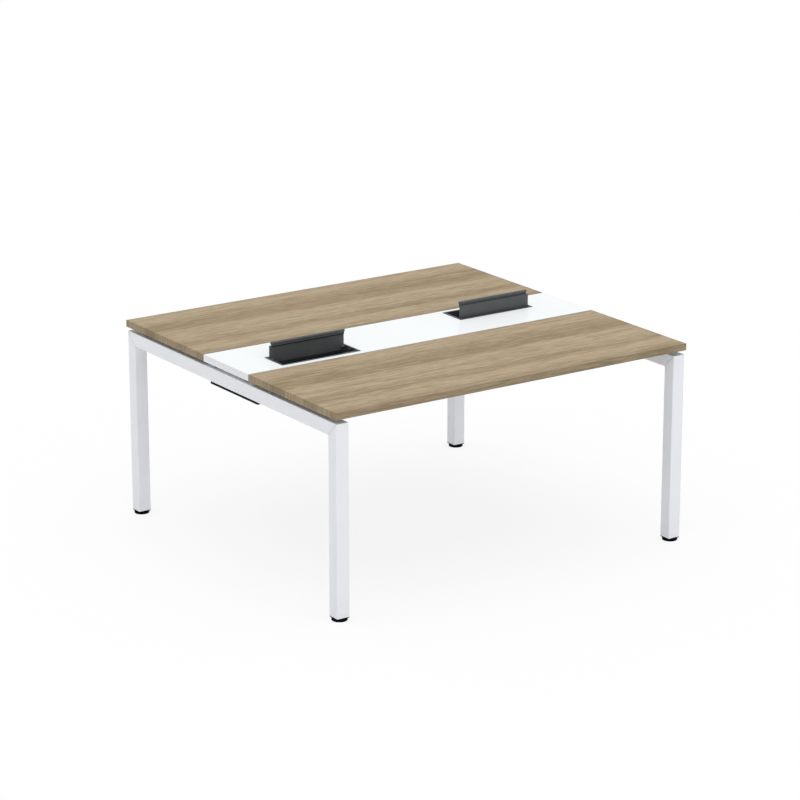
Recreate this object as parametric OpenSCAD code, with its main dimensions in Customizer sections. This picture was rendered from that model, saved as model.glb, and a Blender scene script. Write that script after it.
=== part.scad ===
/* [Desk] */
// Length of the desk along the users' edges
desk_length = 1500; // [1200:10:1800]
// Height of the worktops above the floor
desk_height = 745; // [680:1:800]
// Depth of each user's worktop
desktop_depth = 550; // [500:5:800]
// Depth of the white panel between the worktops
panel_depth = 300; // [280:5:400]
// Open joint between a worktop and the panel
joint_gap = 4; // [2:0.5:10]
// Thickness of the worktops and the panel
board_thickness = 25; // [22:1:30]
// Thickness of the edging strips glued round the boards
edging_thickness = 2; // [1:0.5:3]

/* [Steel frame] */
// Outside size of the square tube in the end frames
tube_size = 50; // [45:1:60]
// Wall of the steel tubes
tube_wall = 2; // [1.5:0.1:2.5]
// Outside corner radius of the steel tubes
tube_corner = 3; // [2.8:0.1:5]
// Setback of the frame from the edges of the boards
frame_inset = 4; // [0:1:20]
// Width of the lengthwise rails
rail_width = 30; // [25:1:40]
// Distance from a user's edge to the middle of the rail
rail_setback = 275; // [200:5:300]
// Thickness of the rail end plates
rail_plate_thickness = 4; // [3:0.5:8]
// Width of the rail end plates
rail_plate_width = 110; // [100:1:150]
// Distance of the rail bolts from the middle of the rail
rail_bolt_offset = 38; // [32:1:42]

/* [Stand-offs] */
// Clear height between the frame and the boards
stand_off_height = 15; // [10:1:30]
// Outside diameter of a stand-off
stand_off_diameter = 25; // [18:1:30]
// Distance from a worktop's long edges to its stand-offs on the end beams
stand_off_setback = 110; // [90:5:160]
// Distance from the panel's long edges to its stand-offs
panel_stand_off_setback = 50; // [30:1:80]
// Distance from the desk's ends to the stand-offs on the rails
rail_stand_off_setback = 400; // [300:10:500]

/* [Feet] */
// Diameter of a levelling foot
foot_diameter = 56; // [40:1:60]
// Height of a foot pad
foot_pad_height = 9.5; // [6:0.5:12]
// Thickness of the plug flange under a leg
plug_flange_thickness = 3; // [2:0.1:5]
// Depth of the plug inside a leg
plug_depth = 22; // [18:1:40]
// Diameter of the threaded stud
stud_diameter = 8; // [6:1:10]
// Length of the threaded stud
stud_length = 55; // [50:1:80]
// Depth of the stud in its foot pad
stud_embed = 5; // [3:0.5:5.5]

/* [Cable flaps] */
// Length of a flap frame
flap_length = 328; // [280:1:360]
// Depth of a flap frame
flap_depth = 118; // [112:1:130]
// Distance from the desk's end to the flap frame
flap_end_setback = 156; // [140:1:180]
// Distance from the panel's long edge to the flap frame
flap_edge_setback = 24; // [16:1:40]
// Width of the frame's visible rim
flap_rim_width = 7; // [6:0.5:9]
// Thickness of the frame's rim on the panel
flap_rim_thickness = 2; // [1.5:0.1:3]
// Wall of the frame below the rim
flap_wall = 3; // [2.5:0.1:3.2]
// How far the frame reaches below the panel
flap_reach = 5; // [3:0.5:10]
// Length of the lid in front of its hinge line
lid_reach = 66; // [55:1:68]
// Length of the lid's tail behind its hinge line
lid_tail = 13; // [10:0.5:13.5]
// Thickness of the lid's plate
lid_plate = 3; // [2:0.1:3.5]
// Depth of the hinge line below the lid's outer face
hinge_depth = 5; // [4.5:0.1:6]
// Diameter of the rounded lip along the lid's free edge
lip_diameter = 11; // [9:0.5:12]
// Distance of the lip's middle behind the lid's outer face
lip_setback = 9; // [8:0.5:10]
// Width of the finger groove between the plate and the lip
groove_width = 5; // [3:0.5:8]
// Diameter of the hinge knuckles at the lid's ends
knuckle_diameter = 8; // [7:0.5:9]
// Length of each hinge knuckle
knuckle_length = 14; // [10:1:20]
// Gap between the lid and the frame at each end
lid_end_gap = 1; // [0.5:0.1:2]
// Diameter of a hinge pin
pin_diameter = 4; // [3:0.1:4.5]
// Depth of a hinge pin in its knuckle
pin_reach = 7; // [4:0.5:9]
// Opening angle of the lids as drawn
lid_open_angle = 90; // [0:1:90]

/* [Cable tray] */
// Thickness of the tray's folded steel
tray_sheet = 1.5; // [1:0.1:2]
// How far the tray's floor hangs below the end beams
tray_drop = 24; // [16:1:40]
// Reach of each tray wall past the open joint above it
tray_side_reach = 3.5; // [2:0.5:10]
// Width of the tray's turned-out flanges
tray_flange_width = 27.5; // [24:0.5:40]
// Setback of the tray's ends from the middle of the end beams
tray_end_setback = 3; // [0:1:15]
// Thickness of the steel plates that join the boards
joining_plate_thickness = 3; // [2:0.5:5]
// Width of the joining plates along the desk
joining_plate_width = 60; // [40:1:70]
// Distance from the desk's ends to the outer joining plates
joining_plate_setback = 100; // [95:1:105]

/* [Hidden] */
$fn = 48;

// Colours
wood = "#b2a283";
wood_edge = "#8f7f67";
panel_white = "#f6f8f9";
frame_white = "#e2e4e8";
charcoal = "#44484a";
black = "#17181a";
grey = "#80807d";
zinc = "#b9bcc0";

// Clearances
thread_fit = 0.05;
press_fit = 0.01;
pivot_fit = 0.05;
hole_clearance = 0.3;
cutout_clearance = 0.5;
plug_clearance = 0.25;
stop_clearance = 0.3;
foot_clearance = 0.3;
beam_clearance = 4;
overcut = 1;

// Fasteners
bolt_diameter = 8;
bolt_head_diameter = 13;
bolt_head_height = 6;
bolt_socket_diameter = 6.9;
bolt_socket_depth = 3.5;
rivet_nut_diameter = 11;
rivet_nut_length = 14;
rivet_collar_diameter = 14;
rivet_collar_length = 3;
board_screw_diameter = 6;
board_screw_head_diameter = 11;
board_screw_head_height = 4;
board_screw_socket_diameter = 4.6;
board_screw_socket_depth = 2.2;
insert_diameter = 10;
insert_length = 13;
access_hole_diameter = 14;
wood_screw_diameter = 4;
wood_screw_depth = 13;
wood_screw_head_diameter = 8;
wood_screw_head_height = 2.5;
wood_screw_socket_diameter = 3.5;
wood_screw_socket_depth = 1.5;
flap_screw_diameter = 3;
flap_screw_depth = 10;
flap_screw_head_diameter = 6;
flap_screw_head_height = 2;
flap_screw_socket_diameter = 2.3;
flap_screw_socket_depth = 1.2;
nut_height = 8;
nut_across_corners = 15;

// Heights and half sizes of the whole desk
desk_depth = 2 * desktop_depth + panel_depth + 2 * joint_gap;
half_length = desk_length / 2;
half_depth = desk_depth / 2;
half_panel = panel_depth / 2;
desktop_inner_y = half_depth - desktop_depth;
board_bottom = desk_height - board_thickness;
beam_top = board_bottom - stand_off_height;
beam_bottom = beam_top - tube_size;
beam_middle = beam_top - tube_size / 2;

// Tubes of the frame
tube_inner_corner = max(tube_corner - tube_wall, 0.5);
leg_x = half_length - frame_inset - tube_size / 2;
leg_y = half_depth - frame_inset - tube_size / 2;
leg_bottom = foot_pad_height + foot_clearance + plug_flange_thickness;
beam_inner_x = leg_x - tube_size / 2;
foot_chamfer = 1;
foot_shoulder = 2;
rail_y = half_depth - rail_setback;
rail_end_x = beam_inner_x - rail_plate_thickness;

// Places of the stand-offs
front_outer_y = -half_depth + stand_off_setback;
front_inner_y = -desktop_inner_y - stand_off_setback;
panel_stand_off_y = half_panel - panel_stand_off_setback;
rail_stand_off_x = half_length - rail_stand_off_setback;
desktop_points = [
    for (x = [-leg_x, leg_x], y = [front_outer_y, front_inner_y]) [x, y],
    for (x = [-rail_stand_off_x, rail_stand_off_x]) [x, -rail_y]
];
panel_points = [for (x = [-leg_x, leg_x], y = [-panel_stand_off_y, panel_stand_off_y]) [x, y]];
stand_off_points = concat(desktop_points, [for (point = desktop_points) -point], panel_points);
beam_hole_ys = [
    front_outer_y, front_inner_y, -panel_stand_off_y,
    panel_stand_off_y, -front_inner_y, -front_outer_y
];

// Joining plates, tray and their screws
plate_bottom = board_bottom - joining_plate_thickness;
plate_xs = [-half_length + joining_plate_setback, 0, half_length - joining_plate_setback];
tray_wall_y = desktop_inner_y + tray_side_reach;
tray_edge_y = tray_wall_y + tray_flange_width;
tray_screw_y = tray_wall_y + tray_flange_width / 2;
tray_floor_z = beam_bottom - tray_drop;
tray_end_x = leg_x - tray_end_setback;
tray_body_x = beam_inner_x - beam_clearance;
tray_tongue_top = beam_bottom - beam_clearance;
screw_edge_distance = 15;
desktop_screw_y = tray_edge_y + screw_edge_distance;
joining_plate_half = desktop_screw_y + screw_edge_distance;
panel_screw_y = panel_stand_off_y;

// Cable flaps, about the middle of a flap frame on the panel's face
flap_x = half_length - flap_end_setback - flap_length / 2;
flap_y = half_panel - flap_edge_setback - flap_depth / 2;
opening_half_x = flap_length / 2 - flap_rim_width;
opening_half_y = flap_depth / 2 - flap_rim_width;
skirt_half_x = opening_half_x + flap_wall;
skirt_half_y = opening_half_y + flap_wall;
flap_bottom = -board_thickness - flap_reach;
tail_clearance = 3;
pivot_y = opening_half_y - lid_tail - tail_clearance;
pivot_z = flap_rim_thickness - hinge_depth;
lid_half_x = opening_half_x - lid_end_gap;
groove_start = lid_reach - lip_diameter - groove_width;
lip_middle = [lid_reach - lip_diameter / 2, hinge_depth - lip_setback];
flap_screw_setback = 50;
flap_screw_x = opening_half_x - flap_screw_setback;
flap_screw_edge = 6;
flap_screw_z = -board_thickness + flap_screw_edge;
stop_overlap = 6;
stop_reach = lid_end_gap + stop_overlap;
stop_size = 5;
stop_height = 10;
stop_gap = 2;
ledge_width = 10;
pin_end_clearance = 0.5;

// A rectangle with rounded corners, about its middle
module rounded_rectangle(width, depth, radius) {
    square([width - 2 * radius, depth], center = true);
    square([width, depth - 2 * radius], center = true);
    for (x = [-1, 1], y = [-1, 1])
        translate([x * (width / 2 - radius), y * (depth / 2 - radius)])
            circle(r = radius);
}

// Section through a steel tube
module tube_section(width, depth) {
    difference() {
        rounded_rectangle(width, depth, tube_corner);
        rounded_rectangle(width - 2 * tube_wall, depth - 2 * tube_wall, tube_inner_corner);
    }
}

// A box between two corners
module box(low, high) {
    translate(low)
        cube(high - low);
}

// One board with its pilot holes, less the edging round it
module board(low, high) {
    edge = [edging_thickness, edging_thickness];
    difference() {
        box([each (low + edge), board_bottom], [each (high - edge), desk_height]);
        insert_holes();
        wood_screw_holes();
    }
}

// Four edging strips round a board
module edging(low, high) {
    for (y = [low.y, high.y - edging_thickness])
        box([low.x, y, board_bottom], [high.x, y + edging_thickness, desk_height]);
    for (x = [low.x, high.x - edging_thickness])
        box(
            [x, low.y + edging_thickness, board_bottom],
            [x + edging_thickness, high.y - edging_thickness, desk_height]
        );
}

// Corners of the front worktop and of the panel, seen from above
desktop_low = [-half_length, -half_depth];
desktop_high = [half_length, -desktop_inner_y];
panel_low = [-half_length, -half_panel];
panel_high = [half_length, half_panel];

// The second user's side is the first turned half round
module rear_side() {
    rotate([0, 0, 180])
        children();
}

// Blind holes for the threaded inserts in the boards
module insert_holes() {
    for (point = stand_off_points)
        translate([point.x, point.y, board_bottom - overcut])
            cylinder(d = insert_diameter + 2 * press_fit, h = insert_length + overcut);
}

// Every wood screw that goes up into the boards
module wood_screw_places(ys) {
    for (x = plate_xs, y = ys, side = [-1, 1])
        translate([x, side * y, board_bottom])
            children();
}

// Blind pilot holes for the wood screws
module wood_screw_holes() {
    wood_screw_places([tray_screw_y, desktop_screw_y, panel_screw_y])
        translate([0, 0, -overcut])
            cylinder(d = wood_screw_diameter + 2 * thread_fit, h = wood_screw_depth + overcut);
}

// A round-headed screw with a hexagon socket, its head seated below z = -grip
module socket_screw(shank, head, socket, grip) {
    translate([0, 0, -grip])
        cylinder(d = shank[0], h = grip + shank[1]);
    translate([0, 0, -grip - head[1]])
        difference() {
            cylinder(d = head[0], h = head[1]);
            translate([0, 0, -overcut])
                cylinder(d = socket[0], h = socket[1] + overcut, $fn = 6);
        }
}

// A wood screw that clamps the given thickness to a board
module wood_screw(grip) {
    socket_screw(
        [wood_screw_diameter, wood_screw_depth],
        [wood_screw_head_diameter, wood_screw_head_height],
        [wood_screw_socket_diameter, wood_screw_socket_depth],
        grip
    );
}

// Boards
module desktop_front() {
    color(wood)
        board(desktop_low, desktop_high);
}

module desktop_front_edging() {
    color(wood_edge)
        edging(desktop_low, desktop_high);
}

module centre_panel() {
    color(panel_white)
        difference() {
            board(panel_low, panel_high);
            for (turn = [0, 180])
                at_flap(turn)
                    flap_cutout();
        }
}

module centre_panel_edging() {
    color(panel_white)
        edging(panel_low, panel_high);
}

// Half space on one side of the mitre between a leg and its beam
module mitre_side(side_x, side_y, above) {
    translate([side_x * leg_x, 0, 0])
        mirror([0, side_y > 0 ? 1 : 0, 0])
            translate([0, -leg_y - tube_size / 2, beam_top])
                rotate([-45, 0, 0])
                    translate([-tube_size, -tube_size, above ? 0 : -2 * tube_size])
                        cube([2 * tube_size, 4 * tube_size, 2 * tube_size]);
}

// End frames
module leg(side_x, side_y) {
    color(frame_white)
        difference() {
            translate([side_x * leg_x, side_y * leg_y, leg_bottom])
                linear_extrude(beam_top - leg_bottom)
                    tube_section(tube_size, tube_size);
            mitre_side(side_x, side_y, true);
        }
}

module cross_beam(side_x) {
    color(frame_white)
        difference() {
            translate([side_x * leg_x, 0, beam_middle])
                rotate([90, 0, 0])
                    linear_extrude(2 * leg_y + tube_size, center = true)
                        tube_section(tube_size, tube_size);
            for (side_y = [-1, 1])
                mitre_side(side_x, side_y, false);
            for (y = beam_hole_ys)
                translate([side_x * leg_x, y, 0])
                    tube_screw_holes();
            rail_bolt_places()
                translate([0, 0, -overcut])
                    cylinder(d = rivet_nut_diameter + 2 * press_fit, h = tube_wall + 2 * overcut);
        }
}

// Screw hole in the top wall of a tube and access hole in its bottom wall
module tube_screw_holes() {
    translate([0, 0, beam_top - tube_wall - overcut])
        cylinder(d = board_screw_diameter + 2 * hole_clearance, h = tube_wall + 2 * overcut);
    translate([0, 0, beam_bottom - overcut])
        cylinder(d = access_hole_diameter, h = tube_wall + 2 * overcut);
}

// Lengthwise rails and their bolted end plates
module rail_front() {
    color(frame_white)
        difference() {
            translate([0, -rail_y, beam_middle])
                rotate([90, 0, 90])
                    linear_extrude(2 * rail_end_x, center = true)
                        tube_section(rail_width, tube_size);
            for (x = [-rail_stand_off_x, rail_stand_off_x])
                translate([x, -rail_y, 0])
                    tube_screw_holes();
        }
}

module rail_end_plates() {
    color(frame_white)
        difference() {
            for (side_x = [-1, 1], side_y = [-1, 1])
                translate([side_x * (rail_end_x + rail_plate_thickness / 2), side_y * rail_y, beam_middle])
                    cube([rail_plate_thickness, rail_plate_width, tube_size], center = true);
            rail_bolt_places()
                translate([0, 0, -rail_plate_thickness - overcut])
                    cylinder(
                        d = bolt_diameter + 2 * hole_clearance,
                        h = rail_plate_thickness + 2 * overcut
                    );
        }
}

// Each rail bolt's place on a beam's inner face, with +Z into the beam
module rail_bolt_places() {
    for (side_x = [-1, 1], side_y = [-1, 1], offset = [-rail_bolt_offset, rail_bolt_offset])
        translate([side_x * beam_inner_x, side_y * rail_y + offset, beam_middle])
            rotate([0, side_x * 90, 0])
                children();
}

module rail_bolts() {
    color(zinc)
        rail_bolt_places()
            socket_screw(
                [bolt_diameter, rivet_nut_length],
                [bolt_head_diameter, bolt_head_height],
                [bolt_socket_diameter, bolt_socket_depth],
                rail_plate_thickness
            );
}

module rivet_nuts() {
    color(zinc)
        rail_bolt_places()
            difference() {
                union() {
                    cylinder(d = rivet_nut_diameter, h = rivet_nut_length);
                    translate([0, 0, tube_wall])
                        cylinder(d = rivet_collar_diameter, h = rivet_collar_length);
                }
                translate([0, 0, -overcut])
                    cylinder(
                        d = bolt_diameter + 2 * thread_fit,
                        h = rivet_nut_length + 2 * overcut
                    );
            }
}

// Stand-offs that carry the boards above the frame
module stand_offs() {
    color(grey)
        for (point = stand_off_points)
            translate([point.x, point.y, beam_top])
                difference() {
                    cylinder(d = stand_off_diameter, h = stand_off_height);
                    translate([0, 0, -overcut])
                        cylinder(
                            d = board_screw_diameter + 2 * hole_clearance,
                            h = stand_off_height + 2 * overcut
                        );
                }
}

module stand_off_screws() {
    color(zinc)
        for (point = stand_off_points)
            translate([point.x, point.y, board_bottom])
                socket_screw(
                    [board_screw_diameter, insert_length],
                    [board_screw_head_diameter, board_screw_head_height],
                    [board_screw_socket_diameter, board_screw_socket_depth],
                    stand_off_height + tube_wall
                );
}

module board_inserts() {
    color(zinc)
        for (point = stand_off_points)
            translate([point.x, point.y, board_bottom])
                difference() {
                    cylinder(d = insert_diameter, h = insert_length);
                    translate([0, 0, -overcut])
                        cylinder(
                            d = board_screw_diameter + 2 * thread_fit,
                            h = insert_length + 2 * overcut
                        );
                }
}

// Steel plates under the joints between worktops and panel
module joining_plates() {
    color(zinc)
        difference() {
            for (x = plate_xs)
                box(
                    [x - joining_plate_width / 2, -joining_plate_half, plate_bottom],
                    [x + joining_plate_width / 2, joining_plate_half, board_bottom]
                );
            wood_screw_places([tray_screw_y, desktop_screw_y, panel_screw_y])
                translate([0, 0, -joining_plate_thickness - overcut])
                    cylinder(
                        d = wood_screw_diameter + 2 * hole_clearance,
                        h = joining_plate_thickness + 2 * overcut
                    );
        }
}

module joining_screws() {
    color(zinc)
        wood_screw_places([desktop_screw_y, panel_screw_y])
            wood_screw(joining_plate_thickness);
}

// Folded cable tray, hung below the joining plates and open at both ends
module cable_tray() {
    color(black)
        difference() {
            union() {
                box([-tray_end_x, -tray_wall_y, tray_floor_z], [tray_end_x, tray_wall_y, plate_bottom]);
                box(
                    [-tray_body_x, -tray_edge_y, plate_bottom - tray_sheet],
                    [tray_body_x, tray_edge_y, plate_bottom]
                );
            }
            box(
                [-tray_end_x - overcut, -tray_wall_y + tray_sheet, tray_floor_z + tray_sheet],
                [tray_end_x + overcut, tray_wall_y - tray_sheet, plate_bottom + overcut]
            );
            for (side = [-1, 1])
                translate([side * (tray_body_x + tube_size), 0, tray_tongue_top + tube_size])
                    cube([2 * tube_size, 2 * tray_edge_y, 2 * tube_size], center = true);
            wood_screw_places([tray_screw_y])
                translate([0, 0, -joining_plate_thickness - tray_sheet - overcut])
                    cylinder(
                        d = wood_screw_diameter + 2 * hole_clearance,
                        h = tray_sheet + 2 * overcut
                    );
        }
}

module tray_screws() {
    color(zinc)
        wood_screw_places([tray_screw_y])
            wood_screw(joining_plate_thickness + tray_sheet);
}

// Plugs that close the legs and hold the nuts of the feet
module leg_places() {
    for (side_x = [-1, 1], side_y = [-1, 1])
        translate([side_x * leg_x, side_y * leg_y, leg_bottom])
            children();
}

module leg_plugs() {
    inner = tube_size - 2 * tube_wall - 2 * plug_clearance;
    color(black)
        leg_places()
            difference() {
                union() {
                    translate([0, 0, -plug_flange_thickness])
                        linear_extrude(plug_flange_thickness)
                            rounded_rectangle(tube_size, tube_size, tube_corner);
                    linear_extrude(plug_depth)
                        rounded_rectangle(inner, inner, tube_inner_corner);
                }
                translate([0, 0, -plug_flange_thickness - overcut])
                    cylinder(
                        d = stud_diameter + 2 * hole_clearance,
                        h = plug_flange_thickness + plug_depth + 2 * overcut
                    );
                translate([0, 0, plug_depth - nut_height])
                    cylinder(d = nut_across_corners + 2 * press_fit, h = nut_height + overcut, $fn = 6);
            }
}

module foot_nuts() {
    color(zinc)
        leg_places()
            translate([0, 0, plug_depth - nut_height])
                difference() {
                    cylinder(d = nut_across_corners, h = nut_height, $fn = 6);
                    translate([0, 0, -overcut])
                        cylinder(d = stud_diameter + 2 * thread_fit, h = nut_height + 2 * overcut);
                }
}

// Levelling feet
module foot_pad(side_x, side_y) {
    radius = foot_diameter / 2;
    color(black)
        translate([side_x * leg_x, side_y * leg_y, 0])
            difference() {
                rotate_extrude()
                    polygon([
                        [0, 0],
                        [radius - foot_chamfer, 0],
                        [radius, foot_chamfer],
                        [radius, foot_pad_height - foot_shoulder],
                        [radius - foot_shoulder, foot_pad_height],
                        [0, foot_pad_height]
                    ]);
                translate([0, 0, foot_pad_height - stud_embed])
                    cylinder(d = stud_diameter + 2 * press_fit, h = stud_embed + overcut);
            }
}

module foot_stud(side_x, side_y) {
    color(zinc)
        translate([side_x * leg_x, side_y * leg_y, foot_pad_height - stud_embed])
            cylinder(d = stud_diameter, h = stud_length);
}

// A cable flap's place: the middle of its frame, on the panel's face
module at_flap(turn) {
    rotate([0, 0, turn])
        translate([-flap_x, -flap_y, desk_height])
            children();
}

// Screws that hold a flap frame, with +Z out of the opening into the panel
module flap_screw_places() {
    for (x = [-flap_screw_x, flap_screw_x], side = [-1, 1])
        translate([x, side * opening_half_y, flap_screw_z])
            rotate([-side * 90, 0, 0])
                children();
}

module flap_cutout() {
    half_x = skirt_half_x + cutout_clearance;
    half_y = skirt_half_y + cutout_clearance;
    box([-half_x, -half_y, -board_thickness - overcut], [half_x, half_y, overcut]);
    flap_screw_places()
        cylinder(
            d = flap_screw_diameter + 2 * thread_fit,
            h = flap_wall + cutout_clearance + flap_screw_depth
        );
}

// The moulded frame: rim, walls, hinge bores, open stops and closing ledges
module flap_frame() {
    color(black)
        difference() {
            union() {
                difference() {
                    union() {
                        linear_extrude(flap_rim_thickness)
                            square([flap_length, flap_depth], center = true);
                        box([-skirt_half_x, -skirt_half_y, flap_bottom], [skirt_half_x, skirt_half_y, 0]);
                    }
                    box(
                        [-opening_half_x, -opening_half_y, flap_bottom - overcut],
                        [opening_half_x, opening_half_y, flap_rim_thickness + overcut]
                    );
                }
                for (side = [-1, 1])
                    mirror([side > 0 ? 1 : 0, 0, 0]) {
                        open_stop();
                        closing_ledge();
                    }
            }
            translate([0, pivot_y, pivot_z])
                rotate([0, 90, 0])
                    cylinder(
                        d = pin_diameter + 2 * press_fit,
                        h = flap_length,
                        center = true
                    );
            flap_screw_places()
                translate([0, 0, -overcut])
                    cylinder(d = flap_screw_diameter + 2 * hole_clearance, h = flap_wall + 2 * overcut);
        }
}

// Block that the lid's tail leans on when the lid stands open
module open_stop() {
    face_y = pivot_y + hinge_depth - lid_plate - stop_clearance;
    top_z = pivot_z - knuckle_diameter / 2 - stop_gap;
    box(
        [-opening_half_x - flap_wall / 2, face_y - stop_size, top_z - stop_height],
        [-opening_half_x + stop_reach, face_y, top_z]
    );
}

// Block that carries the closed lid near its free edge
module closing_ledge() {
    front_y = pivot_y - groove_start + lid_plate + stop_gap;
    top_z = pivot_z + hinge_depth - lid_plate - stop_clearance;
    box(
        [-opening_half_x - flap_wall / 2, front_y, top_z - stop_size],
        [-opening_half_x + stop_reach, front_y + ledge_width, top_z]
    );
}

// Turns a lid section into the lid's place: first axis from hinge to free edge, second axis up
module lid_place() {
    translate([0, pivot_y, pivot_z])
        rotate([-lid_open_angle, 0, 0])
            rotate([90, 0, -90])
                children();
}

// The lid's plate, from its tail behind the hinge line to the finger groove
module lid_plate_section() {
    translate([-lid_tail, hinge_depth - lid_plate])
        square([lid_tail + groove_start, lid_plate]);
}

// The turned-in edge of the plate and the neck under the finger groove
module lid_neck_section() {
    neck_low = lip_middle.y - lid_plate / 2;
    translate([groove_start - lid_plate, neck_low])
        square([lid_plate, hinge_depth - neck_low]);
    translate([groove_start - lid_plate, neck_low])
        square([lip_middle.x - groove_start + lid_plate, lid_plate]);
}

// A knuckle under the plate, round the hinge line
module knuckle_section() {
    circle(d = knuckle_diameter);
    translate([-knuckle_diameter / 2, 0])
        square([knuckle_diameter, hinge_depth - lid_plate / 2]);
}

// The rounded lip, with a dome at each end
module lid_lip() {
    radius = lip_diameter / 2;
    translate([each lip_middle, 0])
        rotate_extrude()
            intersection() {
                translate([0, -lid_half_x])
                    square([radius, 2 * lid_half_x]);
                union() {
                    square([lip_diameter, 2 * (lid_half_x - radius)], center = true);
                    for (side = [-1, 1])
                        translate([0, side * (lid_half_x - radius)])
                            circle(r = radius);
                }
            }
}

module flap_lid() {
    color(charcoal)
        lid_place()
            difference() {
                union() {
                    linear_extrude(2 * lid_half_x, center = true)
                        lid_plate_section();
                    linear_extrude(2 * (lid_half_x - lid_plate), center = true)
                        lid_neck_section();
                    for (side = [-1, 1])
                        translate([0, 0, side * (lid_half_x - knuckle_length / 2)])
                            linear_extrude(knuckle_length, center = true)
                                knuckle_section();
                    lid_lip();
                }
                for (side = [-1, 1])
                    translate([0, 0, side * lid_half_x])
                        cylinder(
                            d = pin_diameter + 2 * pivot_fit,
                            h = 2 * (pin_reach + pin_end_clearance),
                            center = true
                        );
            }
}

module hinge_pins() {
    color(zinc)
        for (side = [-1, 1])
            translate([side * skirt_half_x, pivot_y, pivot_z])
                rotate([0, -side * 90, 0])
                    cylinder(d = pin_diameter, h = flap_wall + lid_end_gap + pin_reach);
}

module flap_screws() {
    color(zinc)
        for (turn = [0, 180])
            at_flap(turn)
                flap_screw_places()
                    socket_screw(
                        [flap_screw_diameter, flap_wall + cutout_clearance + flap_screw_depth],
                        [flap_screw_head_diameter, flap_screw_head_height],
                        [flap_screw_socket_diameter, flap_screw_socket_depth],
                        0
                    );
}

desktop_front();
desktop_front_edging();
rear_side() desktop_front();  // desktop_rear
rear_side() desktop_front_edging();  // desktop_rear_edging
centre_panel();
centre_panel_edging();
leg(-1, -1);  // leg_front_left
leg(1, -1);  // leg_front_right
leg(-1, 1);  // leg_rear_left
leg(1, 1);  // leg_rear_right
cross_beam(-1);  // cross_beam_left
cross_beam(1);  // cross_beam_right
rail_front();
rear_side() rail_front();  // rail_rear
rail_end_plates();
rail_bolts();
rivet_nuts();
stand_offs();
stand_off_screws();
board_inserts();
joining_plates();
joining_screws();
cable_tray();
tray_screws();
leg_plugs();
foot_nuts();
foot_pad(-1, -1);  // foot_pad_front_left
foot_pad(1, -1);  // foot_pad_front_right
foot_pad(-1, 1);  // foot_pad_rear_left
foot_pad(1, 1);  // foot_pad_rear_right
foot_stud(-1, -1);  // foot_stud_front_left
foot_stud(1, -1);  // foot_stud_front_right
foot_stud(-1, 1);  // foot_stud_rear_left
foot_stud(1, 1);  // foot_stud_rear_right
at_flap(0) flap_frame();  // flap_frame_front
at_flap(0) flap_lid();  // flap_lid_front
at_flap(0) hinge_pins();  // hinge_pins_front
at_flap(180) flap_frame();  // flap_frame_rear
at_flap(180) flap_lid();  // flap_lid_rear
at_flap(180) hinge_pins();  // hinge_pins_rear
flap_screws();
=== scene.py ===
# %% [markdown]
# # A benching desk for two
#
# Two people sit face to face at this desk. Each has a wood-grain worktop, and a white panel with two
# cable flaps runs between them. Two end frames of white square tube carry it all. The shapes and sizes
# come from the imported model, which stays as it is. This lesson gives every surface its finish, rounds
# the edges that catch the light and adds the small details that are easier to make as meshes.

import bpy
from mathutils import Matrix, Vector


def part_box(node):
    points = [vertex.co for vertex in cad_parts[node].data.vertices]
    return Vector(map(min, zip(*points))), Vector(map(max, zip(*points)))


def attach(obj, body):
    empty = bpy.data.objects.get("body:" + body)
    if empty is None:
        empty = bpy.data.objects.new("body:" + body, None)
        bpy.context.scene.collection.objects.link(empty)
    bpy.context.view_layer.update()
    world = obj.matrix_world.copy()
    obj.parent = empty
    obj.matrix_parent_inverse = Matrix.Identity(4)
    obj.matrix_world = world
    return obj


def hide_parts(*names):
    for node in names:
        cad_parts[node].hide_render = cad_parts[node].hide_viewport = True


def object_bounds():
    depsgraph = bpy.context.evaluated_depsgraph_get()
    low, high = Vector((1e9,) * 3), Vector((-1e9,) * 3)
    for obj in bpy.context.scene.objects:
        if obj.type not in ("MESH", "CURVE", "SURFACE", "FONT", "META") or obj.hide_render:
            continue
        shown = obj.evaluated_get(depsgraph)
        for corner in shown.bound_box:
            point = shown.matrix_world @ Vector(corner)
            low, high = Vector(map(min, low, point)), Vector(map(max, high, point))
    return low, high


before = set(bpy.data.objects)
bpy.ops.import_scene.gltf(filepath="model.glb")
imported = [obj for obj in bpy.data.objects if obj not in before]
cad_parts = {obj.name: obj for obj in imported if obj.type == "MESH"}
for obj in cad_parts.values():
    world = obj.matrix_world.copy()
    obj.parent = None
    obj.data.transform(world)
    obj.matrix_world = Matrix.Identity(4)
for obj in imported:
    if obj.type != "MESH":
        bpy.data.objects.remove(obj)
cad_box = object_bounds()
cad_size = [round(side, 3) for side in cad_box[1] - cad_box[0]]
print("loaded", len(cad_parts), "pieces; the desk measures", cad_size)

# %% [markdown]
# ## The camera
#
# The desk is seen from beyond its front left corner, a little above the worktops, through a long lens,
# so that parallel edges hardly converge. The place and the two angles were worked out from where the
# corners of the desk fall in the picture. Setting them as plain numbers keeps the view fixed when the
# model changes.

# %% Camera
import math

import bpy

CAMERA_PLACE = (-5.970, -8.716, 3.712)
CAMERA_TURN = 34.361
CAMERA_DIP = 16.984
CAMERA_LENS = 136.02
SENSOR_WIDTH = 36.0

scene = bpy.context.scene
camera = bpy.data.objects.new("camera", bpy.data.cameras.new("camera"))
camera.location = CAMERA_PLACE
camera.rotation_euler = (math.radians(90 - CAMERA_DIP), 0, math.radians(-CAMERA_TURN))
camera.data.lens = CAMERA_LENS
camera.data.sensor_width = SENSOR_WIDTH
scene.collection.objects.link(camera)
scene.camera = camera
scene.view_settings.view_transform = "Standard"
print("camera looks", CAMERA_DIP, "degrees down through a", CAMERA_LENS, "mm lens")

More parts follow.
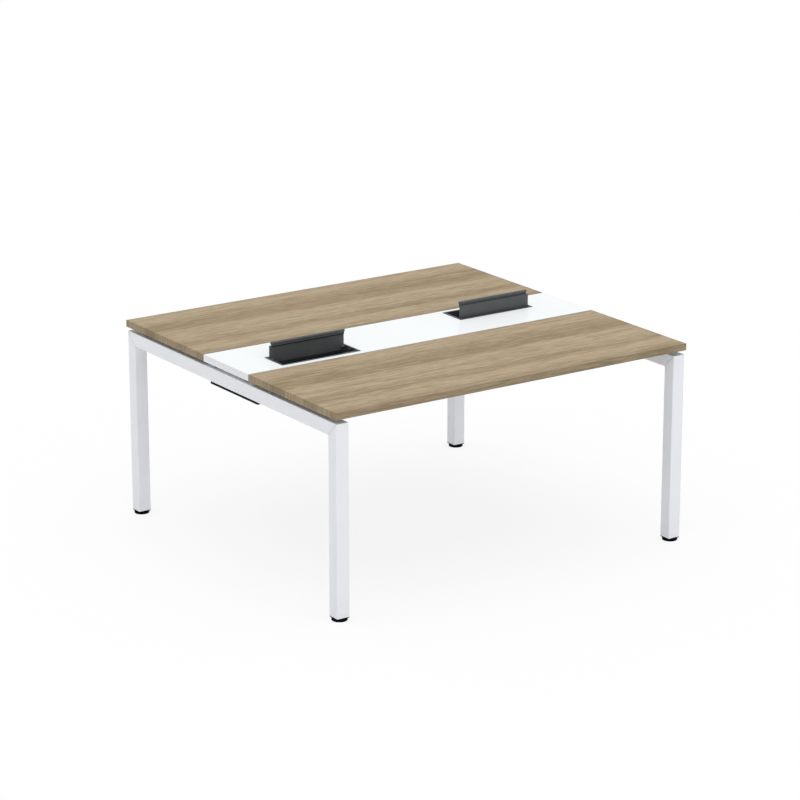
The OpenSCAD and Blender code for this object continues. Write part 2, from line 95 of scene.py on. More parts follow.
# %% [markdown]
# ## Helpers for nodes
#
# A finish is a small network of nodes. Typing in every link by hand hides the idea behind the plumbing,
# so one helper places a node and fills its sockets: a socket as the value makes a link, and a number or
# a colour is typed in. The others are short names for what most of the finishes need: a calculation, a
# new range, a blend, the parts of a vector, and a noise that is stretched along the desk. Two more open
# and close a node group, which always gives a colour, a height and a roughness.

# %% Helpers for nodes
FULL_RANGE = (0.0, 1.0)
MIX_SOCKETS = {"FLOAT": (2, 3, 0), "RGBA": (6, 7, 2)}


def add_node(tree, kind, values=None, **settings):
    node = tree.nodes.new(kind)
    for name, value in settings.items():
        setattr(node, name, value)
    for name, value in (values or {}).items():
        socket = node.inputs[name]
        if isinstance(value, bpy.types.NodeSocket):
            tree.links.new(value, socket)
        else:
            socket.default_value = value
    return node


def calculate(tree, operation, *values):
    return add_node(tree, "ShaderNodeMath", dict(enumerate(values)), operation=operation).outputs[0]


def remap(tree, value, old_range, new_range, way="LINEAR"):
    limits = zip(("From Min", "From Max", "To Min", "To Max"), (*old_range, *new_range))
    values = {"Value": value, **dict(limits)}
    return add_node(tree, "ShaderNodeMapRange", values, interpolation_type=way).outputs["Result"]


# A mix node holds its sockets for numbers and for colours side by side: two to blend and the result.
def blend(tree, kind, share, first, second):
    first_socket, second_socket, result = MIX_SOCKETS[kind]
    values = {0: share, first_socket: first, second_socket: second}
    return add_node(tree, "ShaderNodeMix", values, data_type=kind).outputs[result]


def blend_colours(tree, share, first, second):
    return blend(tree, "RGBA", share, first, second)


def blend_numbers(tree, share, first, second):
    return blend(tree, "FLOAT", share, first, second)


def split(tree, vector):
    return add_node(tree, "ShaderNodeSeparateXYZ", {0: vector}).outputs


def stretched_noise(tree, place, per_metre, detail=2.0):
    scaled = add_node(tree, "ShaderNodeVectorMath", {0: place, 1: per_metre}, operation="MULTIPLY")
    values = {"Vector": scaled.outputs[0], "Scale": 1.0, "Detail": detail}
    return add_node(tree, "ShaderNodeTexNoise", values).outputs["Fac"]


print("node helpers ready")

# %% Helpers for node groups
RESULTS = {"Colour": "Color", "Height": "Float", "Roughness": "Float"}


def start_group(name, inputs):
    group = bpy.data.node_groups.new(name, "ShaderNodeTree")
    sockets = group.interface
    for socket_name, kind, value in inputs:
        socket = sockets.new_socket(socket_name, in_out="INPUT", socket_type="NodeSocket" + kind)
        if value is not None:
            socket.default_value = value
    for socket_name, kind in RESULTS.items():
        sockets.new_socket(socket_name, in_out="OUTPUT", socket_type="NodeSocket" + kind)
    return group, group.nodes.new("NodeGroupInput").outputs, group.nodes.new("NodeGroupOutput")


def end_group(group, result, colour, height, roughness):
    for name, socket in zip(RESULTS, (colour, height, roughness)):
        group.links.new(socket, result.inputs[name])
    return group


print("every group gives", ", ".join(RESULTS))

# %% [markdown]
# ## Floor
#
# The desk stands in a bright studio on a white floor. A floor of plain white paint would look grey in
# places. This one is lit like the desk, so it takes the desk's soft shadow, and the part that the camera
# sees is mixed with even white, which keeps the background pale without any more light on the desk.
# Mirror-like surfaces see the same white.

# %% Floor
FLOOR_HALF = 40.0
FLOOR_WHITE = (0.96, 0.96, 0.96, 1.0)
FLOOR_SHADE = 0.16


def seen_directly(tree):
    path = add_node(tree, "ShaderNodeLightPath").outputs
    camera_or_gloss = calculate(tree, "MAXIMUM", path["Is Camera Ray"], path["Is Glossy Ray"])
    return calculate(tree, "MAXIMUM", camera_or_gloss, path["Is Transmission Ray"])


def make_floor_finish():
    finish = bpy.data.materials.new("white studio floor")
    finish.use_nodes = True
    tree = finish.node_tree
    matt = tree.nodes["Principled BSDF"]
    matt.inputs["Base Color"].default_value = FLOOR_WHITE
    matt.inputs["Roughness"].default_value = 1.0
    matt.inputs["Specular IOR Level"].default_value = 0.0
    white = add_node(tree, "ShaderNodeEmission", {"Strength": 1.0})
    share = calculate(tree, "MULTIPLY", seen_directly(tree), 1.0 - FLOOR_SHADE)
    mixed = add_node(tree, "ShaderNodeMixShader", {0: share, 1: matt.outputs[0], 2: white.outputs[0]})
    tree.links.new(mixed.outputs[0], tree.nodes["Material Output"].inputs["Surface"])
    return finish


floor_mesh = bpy.data.meshes.new("floor")
floor_corners = [(x * FLOOR_HALF, y * FLOOR_HALF, 0.0) for x, y in ((-1, -1), (1, -1), (1, 1), (-1, 1))]
floor_mesh.from_pydata(floor_corners, [], [(0, 1, 2, 3)])
floor_mesh.materials.append(make_floor_finish())
floor = bpy.data.objects.new("floor", floor_mesh)
scene.collection.objects.link(floor)
print("floor is", 2 * FLOOR_HALF, "m wide")

# %% [markdown]
# ## Light and backdrop
#
# A studio for furniture is a white room, so most of the light comes evenly from all sides, and the world
# gives it. Seen directly, the world is plain white, like the floor. A wide soft light overhead makes the
# tops the brightest. Two weaker ones, low down in front and on the left, reach in under the worktops, the
# front one more, so the fronts of all four legs are lighter than their sides. Sun lamps are used because
# their light is equally strong everywhere, and a wide angle makes them as soft as a lit ceiling or a lit
# wall. A faint sheet of light lies on the floor under the desk, like the white reflector that is laid
# there in a studio, so the far legs stay pale as well. The camera doesn't see the sheet.

# %% World
WORLD_LIGHT = 0.66
WORLD_WHITE = (1.0, 1.0, 1.0, 1.0)

world = bpy.data.worlds.new("studio")
world.use_nodes = True
scene.world = world
sky = world.node_tree
glow = sky.nodes["Background"]
glow.inputs["Color"].default_value = WORLD_WHITE
glow.inputs["Strength"].default_value = WORLD_LIGHT
backdrop = add_node(sky, "ShaderNodeBackground", {"Color": WORLD_WHITE, "Strength": 1.0})
lit_or_seen = {0: seen_directly(sky), 1: glow.outputs[0], 2: backdrop.outputs[0]}
mixed_sky = add_node(sky, "ShaderNodeMixShader", lit_or_seen)
sky.links.new(mixed_sky.outputs[0], sky.nodes["World Output"].inputs["Surface"])
print("world light", WORLD_LIGHT)

# %% Lamps
LAMPS = {
    "ceiling light": ((-0.03, -0.1, 1.0), 1.08, 70.0),
    "front light": ((0.0, -0.95, 0.12), 0.45, 40.0),
    "left light": ((-0.9, -0.35, 0.12), 0.18, 40.0),
}
FILL_SIZE = (1.36, 1.26)
FILL_HEIGHT = 0.004
FILL_POWER = 1.1


def add_lamp(name, kind, strength, place):
    light = bpy.data.lights.new(name, kind)
    light.energy = strength
    lamp = bpy.data.objects.new(name, light)
    lamp.location = place
    scene.collection.objects.link(lamp)
    return lamp


for lamp_name, (side, strength, softness) in LAMPS.items():
    lamp = add_lamp(lamp_name, "SUN", strength, side)
    lamp.data.angle = math.radians(softness)
    lamp.rotation_euler = Vector(side).to_track_quat("Z", "Y").to_euler()

fill = add_lamp("fill light", "AREA", FILL_POWER, (0.0, 0.0, FILL_HEIGHT))
fill.data.shape = "RECTANGLE"
fill.data.size, fill.data.size_y = FILL_SIZE
fill.rotation_euler.x = math.pi
fill.visible_camera = fill.visible_glossy = fill.visible_transmission = False
print("lamps:", ", ".join(LAMPS), "and", fill.name)

# %% [markdown]
# ## Wood grain
#
# The worktops are boards with a printed wood decor, and both show the same stretch of it. Broad light and
# dark bands run straight along the whole board, and between them lie long streaks, pale flecks, short
# dashes, fine fibres and pressed pores. An image could give all that, but it would show its pixels up
# close. So three waves of different width give the bands, a smooth step makes them flat inside and clear
# at their edges, and noises that are stretched along X give the rest. The place across is counted from
# the front edge of each board, which sets the same bands on both. On the long edges the grain turns down
# with the edging, so there the height is added to the place across, and those edges are painted a little
# lighter than the ends, as painted light. The underside is a grey-brown backing paper, and its dark tone
# is also painted shade, set to the dull tone of the shaded gap over the frame.

# %% Place on the boards
BOARD_FRONT = -0.704
BOARD_REPEAT = 0.154
BOARD_UNDERSIDE = 0.720
REAR_BOARD_SHIFT = 2.3
FACING_DOWN = -0.5


def lay_on_board(tree, place):
    along, across, up = split(tree, place)
    normal = split(tree, add_node(tree, "ShaderNodeNewGeometry").outputs["Normal"])
    long_edge = calculate(tree, "ABSOLUTE", normal["Y"])
    underside = calculate(tree, "LESS_THAN", normal["Z"], FACING_DOWN)
    rear_board = calculate(tree, "GREATER_THAN", across, 0.0)
    along = calculate(tree, "MULTIPLY_ADD", rear_board, REAR_BOARD_SHIFT, along)
    across = calculate(tree, "WRAP", across, BOARD_REPEAT, BOARD_FRONT)
    across = calculate(tree, "SUBTRACT", across, BOARD_FRONT)
    up = calculate(tree, "SUBTRACT", up, BOARD_UNDERSIDE)
    across = calculate(tree, "MULTIPLY_ADD", up, long_edge, across)
    laid = add_node(tree, "ShaderNodeCombineXYZ", {"X": along, "Y": across, "Z": up}).outputs[0]
    return laid, long_edge, underside


print("the decor starts again", round(BOARD_REPEAT - BOARD_FRONT, 3), "m behind the front edge")

# %% Bands of the decor
BANDS = ((0.409, 3.78, 0.55), (0.213, 4.69, 0.72), (0.106, 1.13, 0.36))
BAND_RANGE = (-1.0, 1.0)
BEND_PER_METRE = (0.7, 6.0, 1.0)
BEND_DEPTH = 0.012
NOISE_MIDDLE = 0.5


def bend_grain(tree, place):
    bend = calculate(tree, "SUBTRACT", stretched_noise(tree, place, BEND_PER_METRE), NOISE_MIDDLE)
    depth = calculate(tree, "MULTIPLY", bend, BEND_DEPTH)
    sideways = add_node(tree, "ShaderNodeCombineXYZ", {"Y": depth}).outputs[0]
    return add_node(tree, "ShaderNodeVectorMath", {0: place, 1: sideways}, operation="ADD").outputs[0]


def draw_bands(tree, across):
    waves = 0.0
    for width, start, strength in BANDS:
        angle = calculate(tree, "MULTIPLY_ADD", across, 2 * math.pi / width, start)
        waves = calculate(tree, "MULTIPLY_ADD", calculate(tree, "COSINE", angle), strength, waves)
    return remap(tree, waves, BAND_RANGE, FULL_RANGE, way="SMOOTHSTEP")


print("waves across the decor, in metres:", [width for width, start, strength in BANDS])

# %% Wood grain group
BAND_SHARE = 0.58
GRAIN = {
    "streak": ((0.5, 100.0, 4.0), 3.0, 1.4),
    "fleck": ((7.0, 150.0, 9.0), 2.0, 1.9),
    "dash": ((24.0, 70.0, 9.0), 2.0, 0.8),
    "fibre": ((12.0, 420.0, 30.0), 3.0, 1.5),
}
WARM_PER_METRE = (1.1, 14.0, 2.0)
WARM_RANGE = (0.42, 0.66)
WARM_MOST = 0.24
PORE_PER_METRE = (55.0, 1500.0, 300.0)
PORE_DETAIL = 1.0
PORE_RANGE = (0.6, 0.72)
PORE_SHARE = 0.35
FIBRE_HEIGHT = 0.4


def add_share(tree, total, value, share):
    off_middle = calculate(tree, "SUBTRACT", value, NOISE_MIDDLE)
    return calculate(tree, "MULTIPLY_ADD", off_middle, share, total)


def make_wood_grain():
    tree, given, result = start_group(
        "wood grain",
        [
            ("Place", "Vector", None),
            ("Light Colour", "Color", None),
            ("Dark Colour", "Color", None),
            ("Warm Colour", "Color", None),
            ("Pore Colour", "Color", None),
            ("Underside Backing And Shade Colour", "Color", None),
            ("Middle Tone", "Float", 0.5),
            ("Long Edge Painted Light", "Float", 0.0),
            ("Smooth Roughness", "Float", 0.52),
            ("Pore Roughness", "Float", 0.7),
        ],
    )
    place, long_edge, underside = lay_on_board(tree, given["Place"])
    place = bend_grain(tree, place)
    # painted light: faces turned to the front or back get a lighter tone than the ends
    tone = calculate(tree, "MULTIPLY_ADD", long_edge, given["Long Edge Painted Light"], given["Middle Tone"])
    tone = add_share(tree, tone, draw_bands(tree, split(tree, place)["Y"]), BAND_SHARE)
    noises = {}
    for name, (per_metre, detail, share) in GRAIN.items():
        noises[name] = stretched_noise(tree, place, per_metre, detail)
        tone = add_share(tree, tone, noises[name], share)
    warm = remap(tree, stretched_noise(tree, place, WARM_PER_METRE), WARM_RANGE, (0.0, WARM_MOST))
    pore = remap(tree, stretched_noise(tree, place, PORE_PER_METRE, PORE_DETAIL), PORE_RANGE, FULL_RANGE)

    colour = blend_colours(tree, tone, given["Dark Colour"], given["Light Colour"])
    colour = blend_colours(tree, warm, colour, given["Warm Colour"])
    pore_share = calculate(tree, "MULTIPLY", pore, PORE_SHARE)
    colour = blend_colours(tree, pore_share, colour, given["Pore Colour"])
    # backing paper and painted shade: the underside is set dark like the shaded gap over the frame
    colour = blend_colours(tree, underside, colour, given["Underside Backing And Shade Colour"])
    height = calculate(tree, "SUBTRACT", calculate(tree, "MULTIPLY", noises["fibre"], FIBRE_HEIGHT), pore)
    rough = blend_numbers(tree, pore, given["Smooth Roughness"], given["Pore Roughness"])
    return end_group(tree, result, colour, height, rough)


wood_grain = make_wood_grain()
print("group made:", wood_grain.name)

# %% [markdown]
# ## Orange peel
#
# Powder coat and laminate are never quite flat: the melted coat draws together in low pebbles, and the
# gloss changes a little from hand to hand and from wipe to wipe. Pebbles modelled as a mesh would need
# millions of faces, so one group gives them as a height, with a soft mottle, and each coat sets its own
# sizes. Where leg and beam meet in a mitre, a fine grey line of painted shade is laid over the coat, for
# the shade in the crease of the joint. Its place follows from the 45 degrees of the cut: there the height
# grows as fast as the distance from the middle of the desk.

# %% Orange peel group
MITRE_RISE = 0.005
MITRE_SHADE_HALF = 0.0012
MITRE_SHADE_CORE = 0.4
SOFT_RANGE = (0.35, 0.65)


# painted shade: this mask marks the thin band along the 45 degree mitres that the coat is darkened in
def painted_mitre_shade(tree, place):
    across, up = split(tree, place)[1:]
    off_mitre = calculate(tree, "SUBTRACT", up, calculate(tree, "ABSOLUTE", across))
    off_mitre = calculate(tree, "ABSOLUTE", calculate(tree, "SUBTRACT", off_mitre, MITRE_RISE))
    return remap(tree, off_mitre, (MITRE_SHADE_CORE * MITRE_SHADE_HALF, MITRE_SHADE_HALF), (1.0, 0.0))


def make_orange_peel():
    tree, given, result = start_group(
        "orange peel",
        [
            ("Place", "Vector", None),
            ("Pebbles per Metre", "Float", None),
            ("Mottle per Metre", "Float", 9.0),
            ("Smooth Roughness", "Float", None),
            ("Dull Roughness", "Float", None),
            ("Clean Colour", "Color", None),
            ("Shaded Colour", "Color", None),
            ("Mitre Painted Shade Colour", "Color", (0.4, 0.4, 0.41, 1.0)),
            ("Seam", "Float", 0.0),
        ],
    )
    sizes = {"Vector": given["Place"], "Detail": 2.0}
    pebbles = add_node(tree, "ShaderNodeTexNoise", {**sizes, "Scale": given["Pebbles per Metre"]})
    mottle = add_node(tree, "ShaderNodeTexNoise", {**sizes, "Scale": given["Mottle per Metre"]})
    soft = remap(tree, mottle.outputs["Fac"], SOFT_RANGE, FULL_RANGE)
    rough = blend_numbers(tree, soft, given["Smooth Roughness"], given["Dull Roughness"])
    colour = blend_colours(tree, soft, given["Clean Colour"], given["Shaded Colour"])
    # painted shade: the grey line along the mitres is blended into the coat colour here
    mitre_shade = calculate(tree, "MULTIPLY", painted_mitre_shade(tree, given["Place"]), given["Seam"])
    colour = blend_colours(tree, mitre_shade, colour, given["Mitre Painted Shade Colour"])
    return end_group(tree, result, colour, pebbles.outputs["Fac"], rough)


orange_peel = make_orange_peel()
print("group made:", orange_peel.name)

# %% [markdown]
# ## Moulded grain
#
# The feet, plugs, stand-offs and flap frames are moulded plastic. Their moulds are etched, so the skin is
# a dense field of tiny pits, and a little pale dust stays on what faces up. A cell pattern gives the pits,
# and the group takes the surface's own normal for the dust.

# %% Moulded grain group
PATCHES_PER_METRE = (45.0, 45.0, 45.0)
PATCH_DETAIL = 4.0
DUST_SLOPE = (0.2, 1.0)
DUST_SETTLED = (0.15, 1.0)
DUST_DULLNESS = 0.12


def make_moulded_grain():
    tree, given, result = start_group(
        "moulded grain",
        [
            ("Place", "Vector", None),
            ("Pits per Metre", "Float", 1500.0),
            ("Plastic Colour", "Color", None),
            ("Dust Colour", "Color", (0.2, 0.19, 0.18, 1.0)),
            ("Dust", "Float", 0.03),
            ("Roughness", "Float", None),
        ],
    )
    sizes = {"Vector": given["Place"], "Scale": given["Pits per Metre"]}
    pits = add_node(tree, "ShaderNodeTexVoronoi", sizes)
    patches = stretched_noise(tree, given["Place"], PATCHES_PER_METRE, PATCH_DETAIL)
    upward = split(tree, add_node(tree, "ShaderNodeNewGeometry").outputs["Normal"])["Z"]
    settled = calculate(tree, "MULTIPLY", remap(tree, upward, DUST_SLOPE, DUST_SETTLED), patches)
    dust = calculate(tree, "MULTIPLY", settled, given["Dust"])
    colour = blend_colours(tree, dust, given["Plastic Colour"], given["Dust Colour"])
    dullness = calculate(tree, "MULTIPLY", settled, DUST_DULLNESS)
    rough = calculate(tree, "ADD", given["Roughness"], dullness)
    return end_group(tree, result, colour, pits.outputs["Distance"], rough)


moulded_grain = make_moulded_grain()
print("group made:", moulded_grain.name)

# %% [markdown]
# ## Drawn metal
#
# The lids are extruded metal under a charcoal coat, and the plated screws and plates show the lines of
# the tool that made them. Both are fine straight lines, so both use one group of a noise that is
# stretched along the desk, under soft clouds that change the gloss.

# %% Drawn metal group
CLOUDS_PER_METRE = (22.0, 22.0, 22.0)
LINE_SHARE = 0.6
CLOUD_SHARE = 0.4


def make_drawn_metal():
    tree, given, result = start_group(
        "drawn metal",
        [
            ("Place", "Vector", None),
            ("Lines per Metre", "Vector", (12.0, 2400.0, 2400.0)),
            ("Bright Colour", "Color", None),
            ("Dull Colour", "Color", None),
            ("Smooth Roughness", "Float", None),
            ("Dull Roughness", "Float", None),
        ],
    )
    lines = stretched_noise(tree, given["Place"], given["Lines per Metre"])
    clouds = stretched_noise(tree, given["Place"], CLOUDS_PER_METRE)
    clouds = remap(tree, clouds, SOFT_RANGE, FULL_RANGE)
    cloud_part = calculate(tree, "MULTIPLY", clouds, CLOUD_SHARE)
    share = calculate(tree, "ADD", calculate(tree, "MULTIPLY", lines, LINE_SHARE), cloud_part)
    colour = blend_colours(tree, share, given["Dull Colour"], given["Bright Colour"])
    rough = blend_numbers(tree, clouds, given["Smooth Roughness"], given["Dull Roughness"])
    return end_group(tree, result, colour, lines, rough)


drawn_metal = make_drawn_metal()
print("group made:", drawn_metal.name)

# %% [markdown]
# ## Finishes
#
# Every finish is one principled shader fed by one of the groups. A separate network for each would repeat
# the same links, so one function builds them all. The record names a finish slot for each piece, so the
# finishes are kept by slot: the group, the depth of its bumps, the plain numbers of the shader and the
# values that the group's sockets take.

# %% Finish from a group
finishes = {}


def make_finish(slot, group, bump_depth, shader_values, group_values):
    finish = bpy.data.materials.new(slot.replace("_", " ") + " finish")
    finish.use_nodes = True
    tree = finish.node_tree
    shader = tree.nodes["Principled BSDF"]
    for name, value in shader_values.items():
        shader.inputs[name].default_value = value
    effect = add_node(tree, "ShaderNodeGroup", node_tree=group)
    for name, value in group_values.items():
        effect.inputs[name].default_value = value
    place = add_node(tree, "ShaderNodeTexCoord").outputs["Object"]
    tree.links.new(place, effect.inputs["Place"])
    bump = add_node(tree, "ShaderNodeBump", {"Height": effect.outputs["Height"], "Distance": bump_depth})
    tree.links.new(effect.outputs["Colour"], shader.inputs["Base Color"])
    tree.links.new(effect.outputs["Roughness"], shader.inputs["Roughness"])
    tree.links.new(bump.outputs[0], shader.inputs["Normal"])
    finishes[slot] = finish
    print("finish made:", finish.name)


print("finishes are built from a group, a bump and a shader")

# %% Wood finishes
# backing paper, and painted shade: its dark tone matches the shaded gap between board and frame
BACKING_AND_PAINTED_SHADE = (0.26, 0.225, 0.185, 1.0)

make_finish("wood_top", wood_grain, 0.00012, {"Specular IOR Level": 0.05}, {
    "Light Colour": (0.486, 0.393, 0.263, 1.0),
    "Dark Colour": (0.262, 0.197, 0.109, 1.0),
    "Warm Colour": (0.42, 0.285, 0.195, 1.0),
    "Pore Colour": (0.2, 0.15, 0.09, 1.0),
    "Underside Backing And Shade Colour": BACKING_AND_PAINTED_SHADE,
})
make_finish("wood_edging", wood_grain, 0.0001, {"Specular IOR Level": 0.1}, {
    "Light Colour": (0.368, 0.29, 0.188, 1.0),
    "Dark Colour": (0.205, 0.157, 0.096, 1.0),
    "Warm Colour": (0.315, 0.222, 0.152, 1.0),
    "Pore Colour": (0.17, 0.13, 0.085, 1.0),
    "Underside Backing And Shade Colour": BACKING_AND_PAINTED_SHADE,
    # painted light: the long edges of the edging are made lighter than its ends
    "Long Edge Painted Light": 0.05,
})

# %% White finishes
make_finish("white_panel", orange_peel, 0.000012, {"Specular IOR Level": 0.02}, {
    "Pebbles per Metre": 260.0,
    "Clean Colour": (0.918, 0.95, 0.958, 1.0),
    "Shaded Colour": (0.908, 0.94, 0.948, 1.0),
    "Smooth Roughness": 0.1,
    "Dull Roughness": 0.15,
})
make_finish("white_edging", orange_peel, 0.00002, {"Specular IOR Level": 0.4}, {
    "Pebbles per Metre": 400.0,
    "Clean Colour": (0.77, 0.785, 0.8, 1.0),
    "Shaded Colour": (0.752, 0.767, 0.782, 1.0),
    "Smooth Roughness": 0.3,
    "Dull Roughness": 0.36,
})
make_finish("white_steel", orange_peel, 0.00006, {"Specular IOR Level": 0.25}, {
    "Pebbles per Metre": 620.0,
    "Clean Colour": (0.797, 0.812, 0.842, 1.0),
    "Shaded Colour": (0.779, 0.794, 0.824, 1.0),
    # painted shade: a grey line along the mitres of the end frames
    "Mitre Painted Shade Colour": (0.34, 0.34, 0.36, 1.0),
    "Seam": 0.8,
    "Smooth Roughness": 0.34,
    "Dull Roughness": 0.44,
})

# %% Metal finishes
make_finish("black_steel", orange_peel, 0.00008, {"Specular IOR Level": 0.3}, {
    "Pebbles per Metre": 700.0,
    "Clean Colour": (0.013, 0.013, 0.014, 1.0),
    "Shaded Colour": (0.018, 0.018, 0.019, 1.0),
    "Smooth Roughness": 0.45,
    "Dull Roughness": 0.55,
})
make_finish("flap_lid_metal", drawn_metal, 0.00001, {"Specular IOR Level": 0.28}, {
    "Bright Colour": (0.087, 0.0945, 0.0955, 1.0),
    "Dull Colour": (0.071, 0.077, 0.079, 1.0),
    "Smooth Roughness": 0.28,
    "Dull Roughness": 0.36,
})
make_finish("zinc_steel", drawn_metal, 0.00002, {"Metallic": 1.0}, {
    "Bright Colour": (0.64, 0.65, 0.67, 1.0),
    "Dull Colour": (0.48, 0.49, 0.52, 1.0),
    "Smooth Roughness": 0.26,
    "Dull Roughness": 0.42,
})

# %% Plastic finishes
make_finish("flap_frame_plastic", moulded_grain, 0.00003, {"Specular IOR Level": 0.4}, {
    "Plastic Colour": (0.06, 0.064, 0.068, 1.0),
    "Roughness": 0.42,
})
make_finish("black_plastic", moulded_grain, 0.00004, {"Specular IOR Level": 0.06}, {
    "Plastic Colour": (0.004, 0.004, 0.005, 1.0),
    "Roughness": 0.55,
    "Dust": 0.01,
})
make_finish("grey_plastic", moulded_grain, 0.00004, {"Specular IOR Level": 0.3}, {
    "Plastic Colour": (0.22, 0.215, 0.205, 1.0),
    "Roughness": 0.5,
    "Dust": 0.02,
})
make_finish("foot_plastic", moulded_grain, 0.00004, {"Specular IOR Level": 0.03}, {
    "Plastic Colour": (0.002, 0.002, 0.003, 1.0),
    "Roughness": 0.6,
    "Dust": 0.006,
})

# %% [markdown]
# ## Dress the pieces
#
# Each imported piece still carries a plain stand-in material, named after its finish slot. The slot's
# finish takes its place. Then the edges of the pieces whose finish has a width in EDGE_ROUNDING get the
# small rounding that saw, mould or press leaves on them. Rounding the mesh itself would change the
# imported shape, so a bevel modifier does it. Two modifiers before it join the loose corners and the flat
# faces, which the bevel needs.

# %% Dress the pieces
EDGE_ROUNDING = {
    "wood_edging": 0.0005,
    "white_edging": 0.0005,
    "white_steel": 0.0009,
    "black_steel": 0.0003,
    "flap_lid_metal": 0.0003,
    "flap_frame_plastic": 0.0005,
    "black_plastic": 0.0004,
    "grey_plastic": 0.0004,
    "zinc_steel": 0.0002,
}
ROUNDING_STEPS = 2
SHARP_ANGLE = math.radians(35)
FLAT_ANGLE = math.radians(0.5)
SAME_POINT = 0.00001


def round_edges(piece, width):
    weld = piece.modifiers.new("joined corners", "WELD")
    weld.merge_threshold = SAME_POINT
    flat = piece.modifiers.new("flat faces", "DECIMATE")
    flat.decimate_type = "DISSOLVE"
    flat.angle_limit = FLAT_ANGLE
    bevel = piece.modifiers.new("rounded edges", "BEVEL")
    bevel.width = width
    bevel.segments = ROUNDING_STEPS
    bevel.limit_method = "ANGLE"
    bevel.angle_limit = SHARP_ANGLE
    bevel.harden_normals = True


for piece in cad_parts.values():
    slot = piece.material_slots[0].material.name
    piece.material_slots[0].material = finishes[slot]
    if slot in EDGE_ROUNDING:
        round_edges(piece, EDGE_ROUNDING[slot])
print("dressed", len(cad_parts), "pieces")

# %% [markdown]
# ## Threads of the levelling feet
#
# Each foot stands on an M8 stud, whose thread shows when the foot is screwed out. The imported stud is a
# plain rod. A screw modifier could wind a profile round an axis, but a short loop says more plainly what
# a thread is: rings of points that climb by one pitch in each turn, low in the groove and high on the
# crest. The end of one turn lies on the start of the next, so merging those points joins the turns. The
# helpers that join rings and make a mesh of them serve the later details as well.

# %% Helpers for meshes
import bmesh


def join_rings(shape, rings, closed=True):
    for first, second in zip(rings, rings[1:]):
        for step in range(len(first) if closed else len(first) - 1):
            following = (step + 1) % len(first)
            shape.faces.new((first[step], first[following], second[following], second[step]))


def make_mesh(shape, name, capped=False, smooth=True):
    bmesh.ops.remove_doubles(shape, verts=shape.verts, dist=SAME_POINT)
    if capped:
        bmesh.ops.holes_fill(shape, edges=[edge for edge in shape.edges if edge.is_boundary])
    bmesh.ops.recalc_face_normals(shape, faces=shape.faces)
    mesh = bpy.data.meshes.new(name)
    shape.to_mesh(mesh)
    shape.free()
    for face in mesh.polygons:
        face.use_smooth = smooth
    return mesh


def add_piece(name, mesh, body, slot):
    piece = bpy.data.objects.new(name, mesh)
    scene.collection.objects.link(piece)
    mesh.materials.append(finishes[slot])
    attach(piece, body)
    print(piece.name, "has", len(mesh.polygons), "faces")
    return piece


print("mesh helpers ready")

# %% Threads of the levelling feet
THREAD_PITCH = 0.00125
THREAD_DEPTH = 0.00075
THREAD_STEPS = 20
THREAD_PROFILE = ((0.0, 1.0), (0.4, 0.0), (0.6, 0.0))


def wind_thread(stud):
    low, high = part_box(stud)
    middle = (low + high) / 2
    radius = (high.x - low.x) / 2
    turns = int((high.z - low.z) / THREAD_PITCH) - 1
    shape = bmesh.new()
    rows = []
    for turn in range(turns):
        for rise, drop in THREAD_PROFILE:
            reach = radius - THREAD_DEPTH * drop
            row = []
            for step in range(THREAD_STEPS + 1):
                angle = 2 * math.pi * step / THREAD_STEPS
                climb = (turn + rise + step / THREAD_STEPS) * THREAD_PITCH
                x = middle.x + reach * math.cos(angle)
                y = middle.y + reach * math.sin(angle)
                row.append(shape.verts.new((x, y, low.z + climb)))
            rows.append(row)
    join_rings(shape, rows, closed=False)
    return make_mesh(shape, stud + "_thread", capped=True, smooth=False)


for corner in ("front_left", "front_right", "rear_left", "rear_right"):
    stud = "foot_stud_" + corner
    thread = add_piece("foot_thread_" + corner, wind_thread(stud), "foot_" + corner, "zinc_steel")
    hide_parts(stud)

# %% [markdown]
# ## Shadow strips of the lids
#
# A fine dark line runs below the lip on the inner side of the front lid: it is the shadow under the lip.
# A black plastic strip is laid there on both lids as a painted shadow. A bevelled curve would give its
# round section, but not its ends. So the strip is a low arch, drawn ring by ring along the lid, and the
# rings at its ends shrink like the rounded end of a moulded strip. Its place is counted from the box of
# the open lid.

# %% Shadow strips of the lids
STRIP_WIDTH = 0.0032
STRIP_HEIGHT = 0.0012
STRIP_BELOW_TOP = 0.0175
STRIP_BEHIND_LIP = 0.004
STRIP_MARGIN = 0.006
STRIP_END_RINGS = 6
STRIP_ARC = 10


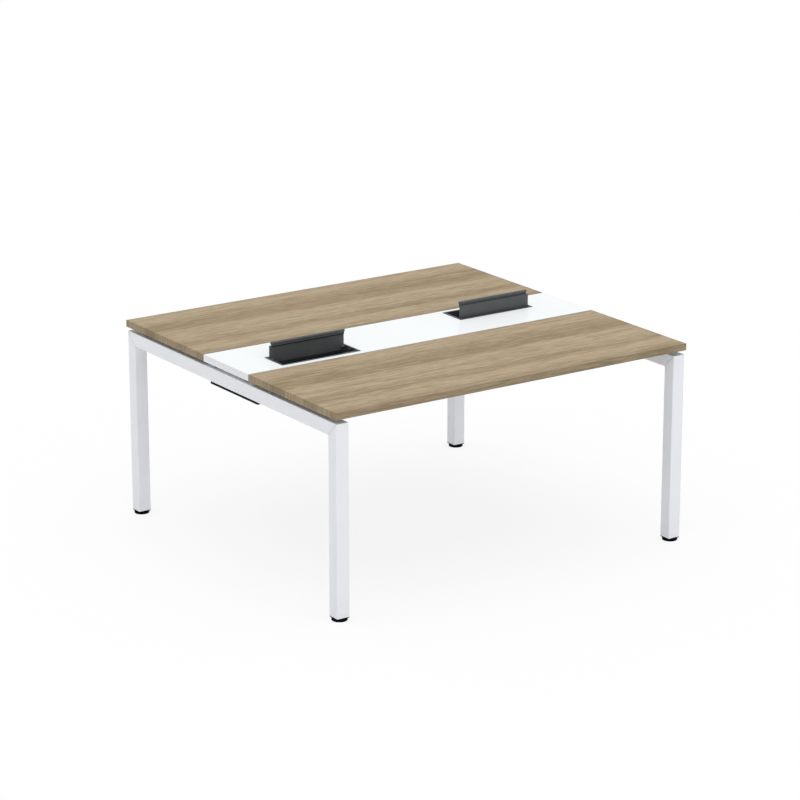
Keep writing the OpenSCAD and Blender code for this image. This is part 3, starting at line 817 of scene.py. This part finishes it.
def lay_shadow_strip(lid, side):
    low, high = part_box(lid)
    plate = (low.y if side < 0 else high.y) - side * STRIP_BEHIND_LIP
    middle = high.z - STRIP_BELOW_TOP
    ends = ((low.x + STRIP_MARGIN, 1), (high.x - STRIP_MARGIN, -1))
    turns = [math.pi / 2 * k / STRIP_END_RINGS for k in range(STRIP_END_RINGS + 1)]
    shape = bmesh.new()
    rings = []
    for (tip, inward), order in zip(ends, (turns, turns[::-1])):
        for turn in order:
            along = tip + inward * STRIP_WIDTH / 2 * (1 - math.cos(turn))
            ring = []
            for step in range(STRIP_ARC + 1):
                angle = math.pi * step / STRIP_ARC
                out = side * STRIP_HEIGHT * math.sin(turn) * math.sin(angle)
                up = STRIP_WIDTH / 2 * math.sin(turn) * math.cos(angle)
                ring.append(shape.verts.new((along, plate + out, middle + up)))
            rings.append(ring)
    join_rings(shape, rings)
    return make_mesh(shape, lid + "_strip")


# painted shadow: a black strip below each lip stands in for the lip's shadow
for end, side in (("front", -1), ("rear", 1)):
    shadow_strip_mesh = lay_shadow_strip("flap_lid_" + end, side)
    add_piece("lid_shadow_strip_" + end, shadow_strip_mesh, "lid_" + end, "black_plastic")

# %% [markdown]
# ## Welds of the rail ends
#
# Each rail is welded to its end plates along both sides. A weld bead is a fillet in the corner with a row
# of ripples, one for each step of the torch. A bump in the coat would not show at its edge, so it is swept
# here as a quarter round whose size swells and shrinks along the seam, and the white coat goes over it as
# over the rest.

# %% Welds of the rail ends
WELD_LEG = 0.003
WELD_RIPPLE = 0.0005
WELD_STEP = 0.0028
WELD_MARGIN = 0.004
WELD_RINGS = 64
WELD_ARC = 6
WELD_HOLLOW = 0.25
WELD_TAPER = 8


def lay_weld(shape, corner, along, outward, low, high):
    rings = []
    for ring in range(WELD_RINGS + 1):
        share = ring / WELD_RINGS
        up = low + share * (high - low)
        taper = min(1.0, WELD_TAPER * share, WELD_TAPER * (1 - share)) ** 0.5
        ripple = WELD_RIPPLE * abs(math.sin(math.pi * (up - low) / WELD_STEP))
        leg = taper * (WELD_LEG - ripple)
        points = [shape.verts.new((corner[0], corner[1], up))]
        for step in range(WELD_ARC + 1):
            angle = math.pi / 2 * step / WELD_ARC
            reach = leg * (1 - WELD_HOLLOW * math.sin(2 * angle))
            x = corner[0] + along * reach * math.cos(angle)
            y = corner[1] + outward * reach * math.sin(angle)
            points.append(shape.verts.new((x, y, up)))
        rings.append(points)
    join_rings(shape, rings)


def weld_rail_ends():
    shape = bmesh.new()
    for rail in ("rail_front", "rail_rear"):
        low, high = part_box(rail)
        bottom, top = low.z + WELD_MARGIN, high.z - WELD_MARGIN
        for end, along in ((low.x, 1), (high.x, -1)):
            for side, outward in ((low.y, -1), (high.y, 1)):
                lay_weld(shape, (end, side), along, outward, bottom, top)
    return make_mesh(shape, "rail_welds")


add_piece("rail_welds", weld_rail_ends(), "frame", "white_steel")
